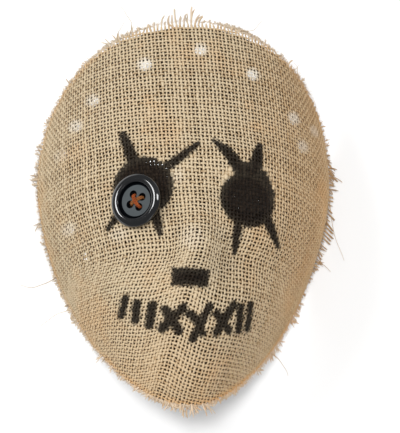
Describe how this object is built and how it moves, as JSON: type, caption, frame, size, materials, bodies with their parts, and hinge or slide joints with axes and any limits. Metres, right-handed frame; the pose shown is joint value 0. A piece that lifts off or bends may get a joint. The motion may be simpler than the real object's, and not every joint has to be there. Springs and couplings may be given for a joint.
{
  "type": "scarecrow face mask",
  "caption": "Full-face costume mask: coarse sacking bonded over a dark moulded face shell, painted stitches and eye, a coat button for the other eye, elastic band.",
  "frame": {"origin": "on the surface that the mask lies on, under the middle of its length and width", "axes": "+Y towards the forehead, +X towards the viewer's right when the face is looked at, +Z out of the face"},
  "size_m": [0.196, 0.249, 0.1152],
  "materials": {
    "dark_plastic": "vacuum-formed black plastic, satin",
    "burlap": "open plain weave of coarse jute, with black paint marks",
    "button_plastic": "polished rim, sanded matt face",
    "rust_thread": "twisted thick thread",
    "black_elastic": "flat woven elastic"
  },
  "bodies": {
    "root": {"shell": "dark_plastic", "burlap_cover": "burlap", "button": "button_plastic", "button_thread": "rust_thread", "strap": "black_elastic"}
  },
  "joints": []
}
